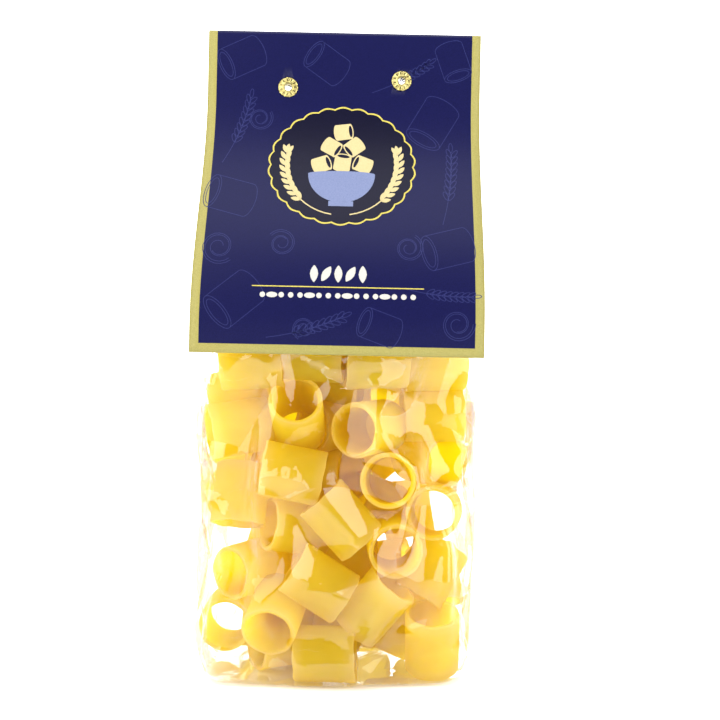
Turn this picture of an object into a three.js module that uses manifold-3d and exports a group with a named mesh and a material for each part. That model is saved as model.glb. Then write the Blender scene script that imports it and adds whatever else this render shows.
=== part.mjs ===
// A clear block-bottom pouch filled with ring pasta. It stands on its base, and a printed card is folded over
// its flat neck and held by two brass eyelets. Millimetres, +Z up, the printed front faces -Y.
import * as THREE from 'three';
import { mergeVertices } from 'three/addons/utils/BufferGeometryUtils.js';
import Module from 'manifold-3d';

// Driving dimensions.
const CARD_WIDTH = 125;
const CARD_CENTRE_X = 0.6;
const CARD_THICKNESS = 0.5;
const CARD_TOP = 291.8;
const CARD_BOTTOM = 143;
const CARD_TILT = THREE.MathUtils.degToRad(1.2);
const FOLD_RADIUS = 2.0;
const FLARE_TOP = 262;
const FLARE_HEIGHT = 108;
const FLARE_DEPTH = 37.5;

const POUCH_CENTRE_X = -3.0;
const POUCH_HALF_WIDTH = 60.5;
const POUCH_HALF_DEPTH = 37;
const NECK_HALF_WIDTH = 56.5;
const NECK_HALF_DEPTH = 1.0;
const NECK_FROM = 150;
const NECK_FULL_AT = 225;
const NECK_TOP = 289;
const BASE_TUCK = 14;
const BASE_TUCK_SHARE = 0.13;
const CORNER_POWER = 5;

const RING_RADIUS = 12;
const RING_LENGTH = 27;
const MID_LAYER_FROM = -10;

const EYELET_LEFT = { x: -25.6, z: 265.7 };
const EYELET_RIGHT = { x: 26.4, z: 269.7 };
const EYELET_HOLE_RADIUS = 1.6;
const EYELET_BARREL_RADIUS = 1.9;
const EYELET_RIM_RADIUS = 4.65;
const EYELET_BACK_RADIUS = 3.9;
const EYELET_PETALS = 10;
const EYELET_SEAT = FOLD_RADIUS + 0.25;
const PUNCH_RADIUS = 2.3;

// Facets: columns round the pouch, and rows up the part of it that the card covers.
const COLUMNS = 30;
const COVERED_ROWS = 9;
const RING_SIDES = 11;

// The rings that show behind the front film, each as its middle (x from the pouch's middle, y, z) and the
// direction of its axis (turn from +X towards +Y, then rise), in millimetres and degrees. The rings behind
// the back film lie as these do, turned half round, and the ones in the middle layer serve both sides.
const FRONT_RINGS = [
  { x: -16, y: -20, z: 115, turn: 90, rise: -38 },
  { x: 18, y: -22, z: 111, turn: 52, rise: 2 },
  { x: -16, y: -25, z: 91, turn: 8, rise: -8 },
  { x: 25, y: -20, z: 88, turn: 84, rise: -4 },
  { x: 45, y: 4, z: 92, turn: 122, rise: 0 },
  { x: 45, y: -6, z: 73, turn: 82, rise: 5 },
  { x: 1, y: -25, z: 71, turn: 5, rise: -46 },
  { x: -5, y: -26, z: 44, turn: -5, rise: -30 },
  { x: 14, y: -20, z: 28, turn: 152, rise: -42 },
  { x: 43, y: -8, z: 43, turn: 20, rise: 50 },
  { x: 28, y: -14, z: 53, turn: 92, rise: -5 },
  { x: -14, y: -14, z: 64, turn: 15, rise: -6 },
  { x: -36, y: -2, z: 45, turn: 50, rise: 4 },
  { x: -49, y: 2, z: 19, turn: 97, rise: 0 },
  { x: -24, y: -16, z: 24, turn: 86, rise: 14 },
  { x: 2, y: -24, z: 14, turn: 2, rise: 0 },
  { x: 44, y: -14, z: 15, turn: -100, rise: 62 },
  { x: 25, y: 6, z: 14, turn: 30, rise: -30 },
  { x: -29, y: 0, z: 13, turn: 30, rise: 0 },
  { x: -33, y: -22, z: 140, turn: 5, rise: 5 },
  { x: -8, y: -22, z: 142, turn: 170, rise: 4 },
  { x: 19, y: -22, z: 141, turn: 5, rise: 0 },
  { x: 44, y: -12, z: 135, turn: 10, rise: 8 },
  { x: -40, y: -14, z: 112, turn: 20, rise: 10 },
  { x: -42, y: -8, z: 80, turn: 80, rise: 70 },
  { x: 44, y: -8, z: 114, turn: 10, rise: -10 },
];

// The filling: the film's folded base, the core that the rings are fused on, and where the card covers it.
const RING_WALL = 2;
const RING_BORE_DEPTH = 11;
const BASE_FILM_HEIGHT = 2;
const CORE_FROM = 5;
const CORE_INSET_X = 14;
const CORE_INSET_Y = 24;
const CORE_TO = 146;
const COVERED_FROM = 150;
const FILM_GAP = 0.8;

const wasm = await Module();
wasm.setup();

// A closed mesh as a solid for cutting, and a cut solid as a mesh again.
function toSolid(geometry) {
  const bare = geometry.clone();
  bare.deleteAttribute('normal');
  bare.deleteAttribute('uv');
  const merged = mergeVertices(bare);
  const vertProperties = new Float32Array(merged.attributes.position.array);
  const triVerts = new Uint32Array(merged.index.array);
  return new wasm.Manifold(new wasm.Mesh({ numProp: 3, vertProperties, triVerts }));
}

function toGeometry(solid) {
  const mesh = solid.getMesh();
  const geometry = new THREE.BufferGeometry();
  geometry.setAttribute('position', new THREE.Float32BufferAttribute(mesh.vertProperties, 3));
  geometry.setIndex(new THREE.Uint32BufferAttribute(mesh.triVerts, 1));
  geometry.computeVertexNormals();
  return geometry;
}

// A punch along Y at the point (x, z), long enough to go through the card and the neck.
function punchAt(x, z) {
  const reach = 6 * FOLD_RADIUS;
  const sides = 24;
  const punch = new THREE.CylinderGeometry(PUNCH_RADIUS, PUNCH_RADIUS, reach, sides);
  punch.translate(x, 0, z);
  return toSolid(punch);
}

function easeBetween(share) {
  return THREE.MathUtils.smoothstep(share, 0, 1);
}

// How far the card's outer face stands from the middle plane at a height.
function cardHalfDepth(z) {
  return FOLD_RADIUS + FLARE_DEPTH * easeBetween((FLARE_TOP - z) / FLARE_HEIGHT);
}

// The pouch's own half width and half depth at a height, before the rings show through.
function pouchHalfDepth(z) {
  const flare = easeBetween((FLARE_TOP - z) / FLARE_HEIGHT);
  const tuck = BASE_TUCK_SHARE * easeBetween((BASE_TUCK - z) / BASE_TUCK);
  return NECK_HALF_DEPTH + (POUCH_HALF_DEPTH - NECK_HALF_DEPTH) * flare * (1 - tuck);
}

function pouchHalfWidth(z) {
  const tuck = BASE_TUCK_SHARE / 2 * easeBetween((BASE_TUCK - z) / BASE_TUCK);
  const neck = easeBetween((z - NECK_FROM) / (NECK_FULL_AT - NECK_FROM));
  return THREE.MathUtils.lerp(POUCH_HALF_WIDTH * (1 - tuck), NECK_HALF_WIDTH, neck);
}

// How much of the core's inset there is at a height: none in the folded base and none under the card.
function coreShare(z) {
  const aboveBase = THREE.MathUtils.clamp((z - BASE_FILM_HEIGHT) / (CORE_FROM - BASE_FILM_HEIGHT), 0, 1);
  const belowCard = THREE.MathUtils.clamp((COVERED_FROM - z) / (COVERED_FROM - CORE_TO), 0, 1);
  return Math.min(aboveBase, belowCard);
}

// A closed round wall brought to the pouch's own outline, drawn in by an inset that a height gives.
function pouchShell(heights, insetAt) {
  const rows = heights.length - 1;
  const geometry = new THREE.CylinderGeometry(1, 1, 1, COLUMNS, rows);
  geometry.rotateX(Math.PI / 2);
  const places = geometry.attributes.position;
  for (let i = 0; i < places.count; i += 1) {
    const z = heights[Math.round((places.getZ(i) + 0.5) * rows)];
    const across = places.getX(i);
    const along = places.getY(i);
    const reach = Math.hypot(across, along);
    if (reach < 0.5) {
      places.setXYZ(i, POUCH_CENTRE_X, 0, z);
    } else {
      const inset = insetAt(z);
      const round = (Math.abs(across) ** CORNER_POWER + Math.abs(along) ** CORNER_POWER) ** (1 / CORNER_POWER);
      const x = (pouchHalfWidth(z) - inset.x) * across / round;
      places.setXYZ(i, POUCH_CENTRE_X + x, (pouchHalfDepth(z) - inset.y) * along / round, z);
    }
  }
  return toSolid(geometry);
}

// Heights up the part that the card covers: close together in the flare, then straight up the flat neck.
function coveredHeights() {
  const share = (FLARE_TOP - COVERED_FROM) / COVERED_ROWS;
  return [...Array.from({ length: COVERED_ROWS + 1 }, (_, row) => COVERED_FROM + row * share), NECK_TOP];
}

// The folded base, the core, and the full pouch from the card's lower edge up to its flat neck.
function coreSolid() {
  const heights = [0, BASE_FILM_HEIGHT, CORE_FROM, CORE_TO, ...coveredHeights()];
  return pouchShell(heights, (z) => ({ x: CORE_INSET_X * coreShare(z), y: CORE_INSET_Y * coreShare(z) }));
}

// The room that the film leaves the rings.
function filmRoom() {
  const heights = [0, BASE_TUCK / 3, 2 * BASE_TUCK / 3, BASE_TUCK, CORE_TO, ...coveredHeights()];
  return pouchShell(heights, (z) => {
    const roomier = z < CORE_TO ? -FILM_GAP : 0;
    return { x: roomier, y: roomier };
  });
}

// One ring of pasta, standing on end about the origin: a short tube with a blind bore at each end.
function ringSolid() {
  let ring = toSolid(new THREE.CylinderGeometry(RING_RADIUS, RING_RADIUS, RING_LENGTH, RING_SIDES));
  const boreRadius = RING_RADIUS - RING_WALL;
  for (const end of [-1, 1]) {
    const bore = new THREE.CylinderGeometry(boreRadius, boreRadius, 2 * RING_BORE_DEPTH, RING_SIDES);
    bore.translate(0, end * RING_LENGTH / 2, 0);
    ring = ring.subtract(toSolid(bore));
  }
  return toGeometry(ring);
}

function layRing(pattern, { x, y, z, turn, rise }, halfTurn) {
  const flat = THREE.MathUtils.degToRad(turn);
  const up = THREE.MathUtils.degToRad(rise);
  const axis = new THREE.Vector3(Math.cos(flat) * Math.cos(up), Math.sin(flat) * Math.cos(up), Math.sin(up));
  const lean = new THREE.Quaternion().setFromUnitVectors(new THREE.Vector3(0, 1, 0), axis);
  const ring = pattern.clone();
  ring.applyMatrix4(new THREE.Matrix4().compose(new THREE.Vector3(x, y, z), lean, new THREE.Vector3(1, 1, 1)));
  ring.rotateZ(halfTurn ? Math.PI : 0);
  ring.translate(POUCH_CENTRE_X, 0, 0);
  return toSolid(ring);
}

// The filled pouch: the rings that show, kept inside the film's room and fused on the core. Of what that
// makes, only the largest body's outer skin is kept, which fills any hollow that the fusing seals.
function pouchSolid() {
  const pattern = ringSolid();
  const outerRings = FRONT_RINGS.filter((ring) => ring.y < MID_LAYER_FROM);
  const rings = wasm.Manifold.union([
    ...FRONT_RINGS.map((ring) => layRing(pattern, ring, false)),
    ...outerRings.map((ring) => layRing(pattern, ring, true)),
  ]);
  const bodies = coreSolid().add(rings.intersect(filmRoom())).decompose();
  return bodies.sort((one, other) => other.volume() - one.volume())[0];
}

// The board's middle line seen from the side: up the front, over the fold and down the back.
function boardLine() {
  const panelSteps = 20;
  const foldSteps = 8;
  const middleRadius = FOLD_RADIUS - CARD_THICKNESS / 2;
  const foldBase = CARD_TOP - FOLD_RADIUS;
  const flareSteps = Array.from({ length: panelSteps + 1 }, (_, step) => step / panelSteps);
  const heights = [CARD_BOTTOM, ...flareSteps.map((share) => FLARE_TOP - FLARE_HEIGHT * (1 - share)), foldBase];
  const front = heights.map((z) => new THREE.Vector2(-(cardHalfDepth(z) - CARD_THICKNESS / 2), z));
  const fold = [];
  for (let step = 1; step < foldSteps; step += 1) {
    const angle = Math.PI * (1 - step / foldSteps);
    fold.push(new THREE.Vector2(middleRadius * Math.cos(angle), foldBase + middleRadius * Math.sin(angle)));
  }
  const back = front.map((point) => new THREE.Vector2(-point.x, point.y)).reverse();
  return [...front, ...fold, ...back];
}

// The printed card: the board's line given its thickness and run across the full width.
function cardGeometry() {
  const line = boardLine();
  const sideOf = (distance) => line.map((point, i) => {
    const before = line[Math.max(i - 1, 0)];
    const after = line[Math.min(i + 1, line.length - 1)];
    const run = after.clone().sub(before).normalize();
    return new THREE.Vector2(point.x - run.y * distance, point.y + run.x * distance);
  });
  const outline = [...sideOf(CARD_THICKNESS / 2), ...sideOf(-CARD_THICKNESS / 2).reverse()];
  const geometry = new THREE.ExtrudeGeometry(new THREE.Shape(outline), {
    depth: CARD_WIDTH,
    bevelEnabled: false,
  });
  const depthAxis = new THREE.Vector3(0, 1, 0);
  const heightAxis = new THREE.Vector3(0, 0, 1);
  const widthAxis = new THREE.Vector3(1, 0, 0);
  geometry.applyMatrix4(new THREE.Matrix4().makeBasis(depthAxis, heightAxis, widthAxis));
  geometry.translate(-CARD_WIDTH / 2, 0, 0);
  return geometry;
}

// An eyelet: a barrel with a rolled flange behind and a flange pressed into petals in front.
function eyeletGeometry() {
  const edge = 0.3;
  const lip = 0.25;
  const rollHeight = 0.75;
  const rollRadius = 2.3;
  const crownRadius = 3.1;
  const outline = [
    [EYELET_BARREL_RADIUS, EYELET_SEAT],
    [EYELET_BACK_RADIUS - edge, EYELET_SEAT],
    [EYELET_BACK_RADIUS, EYELET_SEAT + edge],
    [EYELET_BACK_RADIUS - edge, EYELET_SEAT + 2 * edge],
    [rollRadius, EYELET_SEAT + rollHeight],
    [EYELET_HOLE_RADIUS, EYELET_SEAT + lip],
    [EYELET_HOLE_RADIUS, -EYELET_SEAT - lip],
    [rollRadius, -EYELET_SEAT - rollHeight],
    [crownRadius, -EYELET_SEAT - rollHeight],
    [EYELET_RIM_RADIUS - edge, -EYELET_SEAT - 2 * edge],
    [EYELET_RIM_RADIUS, -EYELET_SEAT - lip],
    [EYELET_RIM_RADIUS - edge, -EYELET_SEAT],
    [EYELET_BARREL_RADIUS, -EYELET_SEAT],
    [EYELET_BARREL_RADIUS, EYELET_SEAT],
  ].map(([radius, along]) => new THREE.Vector2(radius, along));
  const facetsPerPetal = 3;
  const notchDepth = 0.08;
  const geometry = new THREE.LatheGeometry(outline, EYELET_PETALS * facetsPerPetal);
  const places = geometry.attributes.position;
  for (let i = 0; i < places.count; i += 1) {
    const radius = Math.hypot(places.getX(i), places.getZ(i));
    if (radius > crownRadius && places.getY(i) < 0) {
      const angle = Math.atan2(places.getZ(i), places.getX(i));
      const notch = (0.5 + 0.5 * Math.cos(EYELET_PETALS * angle)) ** 2;
      const shrink = 1 - notchDepth * notch;
      places.setXYZ(i, places.getX(i) * shrink, places.getY(i), places.getZ(i) * shrink);
    }
  }
  return geometry;
}

function namedMesh(name, geometry, material) {
  const mesh = new THREE.Mesh(geometry, material);
  mesh.name = name;
  return mesh;
}

// The card and its eyelets sit a little askew on the pouch, turned about the middle of the card.
const cardMiddle = new THREE.Vector3(CARD_CENTRE_X, 0, (CARD_TOP + CARD_BOTTOM) / 2);
const depthDirection = new THREE.Vector3(0, 1, 0);

function onPack({ x, z }) {
  const fromMiddle = new THREE.Vector3(x, 0, z - cardMiddle.z);
  return fromMiddle.applyAxisAngle(depthDirection, CARD_TILT).add(cardMiddle);
}

let neckedPouch = pouchSolid();
let punchedCard = toSolid(cardGeometry());
for (const place of [EYELET_LEFT, EYELET_RIGHT]) {
  const throughPouch = onPack(place);
  neckedPouch = neckedPouch.subtract(punchAt(throughPouch.x, throughPouch.z));
  punchedCard = punchedCard.subtract(punchAt(place.x, place.z));
}

const pasta = new THREE.MeshStandardMaterial({ color: 0xe3b94e, roughness: 0.5, metalness: 0 });
const board = new THREE.MeshStandardMaterial({ color: 0x0d1730, roughness: 0.45, metalness: 0 });
const brass = new THREE.MeshStandardMaterial({ color: 0xb58a4c, roughness: 0.35, metalness: 1 });

const pack = new THREE.Group();
pack.add(namedMesh('pouch', toGeometry(neckedPouch), pasta));

const header = new THREE.Group();
header.position.copy(cardMiddle);
header.rotation.y = CARD_TILT;
pack.add(header);

const card = namedMesh('header_card', toGeometry(punchedCard), board);
card.position.z = -cardMiddle.z;
header.add(card);

for (const [name, place] of [['eyelet_left', EYELET_LEFT], ['eyelet_right', EYELET_RIGHT]]) {
  const eyelet = namedMesh(name, eyeletGeometry(), brass);
  eyelet.position.set(place.x, 0, place.z - cardMiddle.z);
  header.add(eyelet);
}

export default pack;
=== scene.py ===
import math
import bmesh
import bpy
import numpy as np
from mathutils import Matrix, Vector


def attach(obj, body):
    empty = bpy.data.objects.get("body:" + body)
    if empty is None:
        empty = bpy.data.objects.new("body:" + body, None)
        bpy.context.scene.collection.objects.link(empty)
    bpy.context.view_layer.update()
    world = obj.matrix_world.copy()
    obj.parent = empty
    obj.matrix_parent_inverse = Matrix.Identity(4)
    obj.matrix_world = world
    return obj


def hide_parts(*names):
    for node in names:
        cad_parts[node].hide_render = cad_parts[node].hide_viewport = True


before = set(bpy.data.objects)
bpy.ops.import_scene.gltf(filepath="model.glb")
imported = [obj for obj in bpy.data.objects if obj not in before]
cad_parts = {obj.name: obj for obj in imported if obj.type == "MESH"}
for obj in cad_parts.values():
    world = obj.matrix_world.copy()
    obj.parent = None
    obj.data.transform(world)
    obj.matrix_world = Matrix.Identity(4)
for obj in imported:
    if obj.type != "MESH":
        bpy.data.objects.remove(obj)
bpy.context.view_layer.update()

# ---------------------------------------------------------------------------------------------------------
# The rings of pasta. Short thick tubes of dry wheat paste, pressed through a die, cut off with a slightly
# ragged edge and dried hard. They lie loose in the pouch, so each one leans on its neighbours, and the ones
# behind the front film lie as the pack shows them.
# ---------------------------------------------------------------------------------------------------------
MM = 0.001
RING_RADIUS = 12.0
RING_LENGTH = 27.0
RING_WALL = 2.0
CUT_ROUNDING = 0.45
RING_SIDES = 46
RING_FLOOR = 0.3

POUCH_MIDDLE_X = -3.0
POUCH_HALF_WIDTH = 60.5
POUCH_HALF_DEPTH = 37.0
NECK_HALF_WIDTH = 56.5
NECK_HALF_DEPTH = 1.0
NECK_FROM = 150.0
NECK_FULL_AT = 225.0
FLARE_TOP = 262.0
FLARE_HEIGHT = 108.0
BASE_TUCK = 14.0
BASE_TUCK_SHARE = 0.13
CORNER_POWER = 5

# Each ring behind the front film: its middle (x from the pouch's middle, y, z) in millimetres, and its
# axis as a turn from +X towards +Y and then a rise, in degrees.
FRONT_RINGS = [
    (-16, -20, 115, 90, -38), (19, -22, 111, 62, 2), (-16, -25, 91, 8, -8), (25, -20, 88, 84, -4),
    (45, 4, 92, 122, 0), (45, -6, 73, 82, 5), (1, -25, 71, 5, -46), (-5, -26, 44, -5, -30),
    (14, -20, 28, 152, -42), (43, -8, 43, 20, 50), (28, -14, 53, 92, -5), (-14, -14, 64, 15, -6),
    (-36, -2, 45, 50, 4), (-49, 2, 19, 97, 0), (-24, -16, 24, 86, 14), (2, -24, 14, 2, 0),
    (44, -14, 15, -100, 62), (25, 6, 14, 30, -30), (-29, 0, 13, 30, 0), (-33, -22, 140, 5, 5),
    (-8, -22, 142, 170, 4), (19, -22, 141, 5, 0), (44, -12, 135, 10, 8), (-40, -14, 112, 20, 10),
    (-42, -8, 80, 80, 70), (44, -8, 114, 10, -10),
]
MID_LAYER_FROM = -10
FILLER_HEIGHTS = np.arange(14, 206, 8.0)
FILLER_DEPTHS = (22, 0, -22, 12, -12)
FILLER_COLUMNS = (-46, -23, 0, 23, 46, -34, -11, 11, 34)
FILL_GAP = 24.0
CARD_HIDES_FROM = 140.0
TAPER_PRESSES_FROM = 160

# The balls that feel where two rings meet, and how far one round of settling moves and turns a ring.
FEELER_RADIUS = 2.6
CORE_FEELER_RADIUS = 6.5
FEELERS_ROUND = 10
FEELER_ROWS = 5
FEELER_STAGGER = 0.3
SETTLE_STEP = 1.3
MOST_TURN = 0.15

LIGHT_THROUGH_WALL = 0.70
LIGHT_THROUGH_BORE = 0.90
PALE_RIM_LENGTH = 1.1
chance = np.random.default_rng(11)


def ease(share):
    share = np.clip(share, 0, 1)
    return share * share * (3 - 2 * share)


def pouch_half_width(z):
    tuck = BASE_TUCK_SHARE / 2 * ease((BASE_TUCK - z) / BASE_TUCK)
    neck = ease((z - NECK_FROM) / (NECK_FULL_AT - NECK_FROM))
    return POUCH_HALF_WIDTH * (1 - tuck) * (1 - neck) + NECK_HALF_WIDTH * neck


def pouch_half_depth(z):
    tuck = BASE_TUCK_SHARE * ease((BASE_TUCK - z) / BASE_TUCK)
    flare = ease((FLARE_TOP - z) / FLARE_HEIGHT)
    return NECK_HALF_DEPTH + (POUCH_HALF_DEPTH - NECK_HALF_DEPTH) * flare * (1 - tuck)


def axes_along(direction):
    """The turned frame whose third axis is the ring's own."""
    helper = (1.0, 0, 0) if abs(direction[2]) > 0.9 else (0, 0, 1.0)
    side = np.cross(helper, direction)
    side /= np.linalg.norm(side)
    return np.stack([side, np.cross(direction, side), direction], 1)


def feelers():
    """Balls that fill a ring's outer form, and their radii: they feel where it meets others."""
    half, reach = RING_LENGTH / 2, RING_RADIUS - FEELER_RADIUS
    around = np.arange(FEELERS_ROUND) * math.tau / FEELERS_ROUND
    places = [
        (reach * math.cos(angle + FEELER_STAGGER * row), reach * math.sin(angle + FEELER_STAGGER * row), h)
        for row, h in enumerate(np.linspace(FEELER_RADIUS - half, half - FEELER_RADIUS, FEELER_ROWS))
        for angle in around
    ]
    middle = [(0, 0, h) for h in (CORE_FEELER_RADIUS - half, 0, half - CORE_FEELER_RADIUS)]
    radii = [FEELER_RADIUS] * len(places) + [CORE_FEELER_RADIUS] * len(middle)
    return np.array(places + middle), np.array(radii)


def nearest_turn(matrices):
    left, _, right = np.linalg.svd(matrices)
    return left @ right


def settle(middles, turns, give, rounds, held_rounds, hold, sink):
    """Pushes the rings apart and into the pouch. give is how readily each one moves, and the ones with
    little are drawn back to where they began for the first rounds."""
    balls, radii = feelers()
    reach = radii[:, None] + radii[None]
    start_middles, start_turns = middles.copy(), turns.copy()
    span = math.hypot(2 * RING_RADIUS, RING_LENGTH) + 0.3
    held = give < 0.5
    count = len(middles)
    for current in range(rounds):
        points = np.einsum("nij,mj->nmi", turns, balls) + middles[:, None]
        apart = np.linalg.norm(middles[:, None] - middles[None], axis=2)
        first, second = np.where(np.triu(apart < span, 1))
        a, b = points[first], points[second]
        square = (a ** 2).sum(2)[:, :, None] + (b ** 2).sum(2)[:, None] - 2 * a @ b.transpose(0, 2, 1)
        pair, ball_a, ball_b = np.where(square < (reach ** 2)[None])
        one, other = first[pair], second[pair]
        gap = points[one, ball_a] - points[other, ball_b]
        distance = np.linalg.norm(gap, axis=1) + 1e-6
        depth = reach[ball_a, ball_b] - distance
        between = middles[one] - middles[other]
        between /= np.linalg.norm(between, axis=1)[:, None] + 1e-6
        away = 0.6 * gap / distance[:, None] + 0.4 * between
        away /= np.linalg.norm(away, axis=1)[:, None] + 1e-6
        push = away * (depth * depth)[:, None]
        share = (give[one] / (give[one] + give[other]))[:, None]
        force, twist, weight = np.zeros((count, 3)), np.zeros((count, 3)), np.zeros(count)
        for ring, ball, sign, part in ((one, ball_a, 1, share), (other, ball_b, -1, 1 - share)):
            moved = sign * push * part
            np.add.at(force, ring, moved)
            np.add.at(twist, ring, np.cross(points[ring, ball] - middles[ring], moved))
            np.add.at(weight, ring, depth)
        z = points[..., 2]
        room_x = pouch_half_width(z) - radii
        room_y = np.maximum(pouch_half_depth(z) - radii, 0.5)
        crowd_x = np.abs(points[..., 0] / room_x) ** CORNER_POWER
        crowd_y = np.abs(points[..., 1] / room_y) ** CORNER_POWER
        crowd = np.maximum((crowd_x + crowd_y) ** (1 / CORNER_POWER), 1)
        inward = 1 - 1 / crowd
        wall = np.stack([-points[..., 0] * inward, -points[..., 1] * inward, np.maximum(radii - z, 0)], 2)
        pressed = (inward > 0) & (z > TAPER_PRESSES_FROM)
        wall[..., 2] -= np.where(pressed, np.abs(points[..., 1]) * inward * 0.5, 0)
        press = np.linalg.norm(wall, axis=2)
        force += (wall * press[..., None]).sum(1)
        twist += np.cross(points - middles[:, None], wall * press[..., None]).sum(1)
        weight = np.maximum(weight + press.sum(1), 1e-3)[:, None]
        middles = middles + SETTLE_STEP * force / weight
        spin = twist / weight / RING_RADIUS ** 2
        amount = np.linalg.norm(spin, axis=1) + 1e-9
        x, y, w = (spin / amount[:, None]).T
        nought = np.zeros(count)
        cross = np.stack([nought, -w, y, w, nought, -x, -y, x, nought], 1).reshape(count, 3, 3)
        amount = np.minimum(amount, MOST_TURN)[:, None, None]
        turns = (np.eye(3) + np.sin(amount) * cross + (1 - np.cos(amount)) * (cross @ cross)) @ turns
        if current < held_rounds:
            middles[:, 2] -= sink * ~held
            back = (hold * held)[:, None]
            middles += (start_middles - middles) * back
            turns = nearest_turn(turns * (1 - back[:, None]) + start_turns * back[:, None])
    return middles, nearest_turn(turns)


def ring_axis(turn, rise):
    turn, rise = math.radians(turn), math.radians(rise)
    return np.array([math.cos(turn) * math.cos(rise), math.sin(turn) * math.cos(rise), math.sin(rise)])


def pour_rings():
    """Where every ring lies, from the pouch's middle in millimetres."""
    middles = np.array([place[:3] for place in FRONT_RINGS], float)
    turns = np.array([axes_along(ring_axis(*place[3:])) for place in FRONT_RINGS])
    shown = len(middles)
    middles, turns = settle(middles, turns, np.full(shown, 0.1), 160, 130, 0.03, 0)
    half_turn = np.diag([-1.0, -1.0, 1.0])
    outer = middles[:, 1] < MID_LAYER_FROM
    places = list(middles) + list(middles[outer] @ half_turn)
    frames = list(turns) + [half_turn @ turned for turned in turns[outer]]
    for z in FILLER_HEIGHTS:
        for y in FILLER_DEPTHS:
            for x in FILLER_COLUMNS:
                room = pouch_half_depth(z) - (13 if y == 0 else abs(y) + 10)
                spot = np.array([x, y, z], float)
                in_view = y < 0 and z < CARD_HIDES_FROM
                if in_view or room < 0 or min(np.linalg.norm(spot - place) for place in places) < FILL_GAP:
                    continue
                lean = chance.normal(size=3)
                places.append(spot)
                frames.append(axes_along(lean / np.linalg.norm(lean)))
    give = np.ones(len(places))
    give[:shown] = 0.01
    return settle(np.array(places), np.array(frames), give, 400, 266, 0.1, 0.01)


def finished_mesh(bm, name):
    mesh = bpy.data.meshes.new(name)
    bm.to_mesh(mesh)
    bm.free()
    return mesh


def one_ring():
    """A tube spun from its wall's section, with its four rims softened."""
    bm = bmesh.new()
    inside, half = RING_RADIUS - RING_WALL, RING_LENGTH / 2
    corners = [bm.verts.new(place) for place in ((inside, 0, -half), (RING_RADIUS, 0, -half),
                                                 (RING_RADIUS, 0, half), (inside, 0, half))]
    sides = [bm.edges.new((corners[i], corners[(i + 1) % 4])) for i in range(4)]
    bmesh.ops.subdivide_edges(bm, edges=[sides[1], sides[3]], cuts=4)
    bmesh.ops.spin(bm, geom=bm.verts[:] + bm.edges[:], cent=(0, 0, 0), axis=(0, 0, 1), angle=math.tau,
                   steps=RING_SIDES, use_merge=True)
    bmesh.ops.recalc_face_normals(bm, faces=bm.faces)
    rims = [edge for edge in bm.edges if edge.calc_face_angle(0) > 1.2]
    bmesh.ops.bevel(bm, geom=rims, offset=CUT_ROUNDING, segments=2, profile=0.5, affect="EDGES", material=-1)
    return finished_mesh(bm, "ring_pattern")


def uneven(place, habit):
    """A ring's own unevenness: a little oval, tapered and bowed, with ends cut a little askew."""
    x, y, h = place
    share = h / (RING_LENGTH / 2)
    angle = math.atan2(y, x)
    grow = 1 + habit["oval"] * math.cos(2 * (angle - habit["lie"])) + habit["taper"] * share
    grow += 0.006 * math.sin(3 * angle + 5 * habit["lie"]) * share
    skew = 1 + habit["askew"] * math.cos(angle - habit["lie"] + 1.1 * math.copysign(1, h)) * abs(share)
    bow = habit["bow"] * (1 - share * share)
    ragged = 0.16 * math.sin(7 * angle + 9 * habit["lie"]) * share ** 5
    return Vector((x * grow + bow, y * grow, h * skew + ragged))


def sprinkle(nodes, links, coordinates, scale, detail):
    noise = nodes.new("ShaderNodeTexNoise")
    noise.inputs["Scale"].default_value = scale
    noise.inputs["Detail"].default_value = detail
    links.new(coordinates, noise.inputs["Vector"])
    return noise.outputs["Fac"]


def ramp(nodes, links, source, stops):
    band = nodes.new("ShaderNodeValToRGB")
    while len(band.color_ramp.elements) < len(stops):
        band.color_ramp.elements.new(0.5)
    for element, (place, colour) in zip(band.color_ramp.elements, stops):
        element.position = place
        element.color = (*colour, 1)
    links.new(source, band.inputs["Fac"])
    return band.outputs["Color"]


def blend_colours(nodes, links, factor, first, second, kind="MIX"):
    mix = nodes.new("ShaderNodeMix")
    mix.data_type = "RGBA"
    mix.blend_type = kind
    for name, value in (("Factor", factor), ("A", first), ("B", second)):
        socket = mix.inputs[name]
        if isinstance(value, bpy.types.NodeSocket):
            links.new(value, socket)
        else:
            socket.default_value = value if isinstance(value, float) else (*value, 1)
    return mix.outputs["Result"]


def bumps(nodes, links, height, strength, distance):
    bump = nodes.new("ShaderNodeBump")
    bump.inputs["Strength"].default_value = strength
    bump.inputs["Distance"].default_value = distance
    links.new(height, bump.inputs["Height"])
    return bump.outputs["Normal"]


def fresh_material(name):
    material = bpy.data.materials.new(name)
    material.use_nodes = True
    nodes, links = material.node_tree.nodes, material.node_tree.links
    return material, nodes, links, nodes["Principled BSDF"], nodes["Material Output"]


def reading(nodes, name):
    attribute = nodes.new("ShaderNodeAttribute")
    attribute.attribute_name = name
    return attribute.outputs["Fac"]


def mix_finishes(nodes, links, factor, first, second, output):
    mix = nodes.new("ShaderNodeMixShader")
    for socket, source in zip(mix.inputs, (factor, first, second)):
        links.new(source, socket)
    links.new(mix.outputs["Shader"], output.inputs["Surface"])


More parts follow.
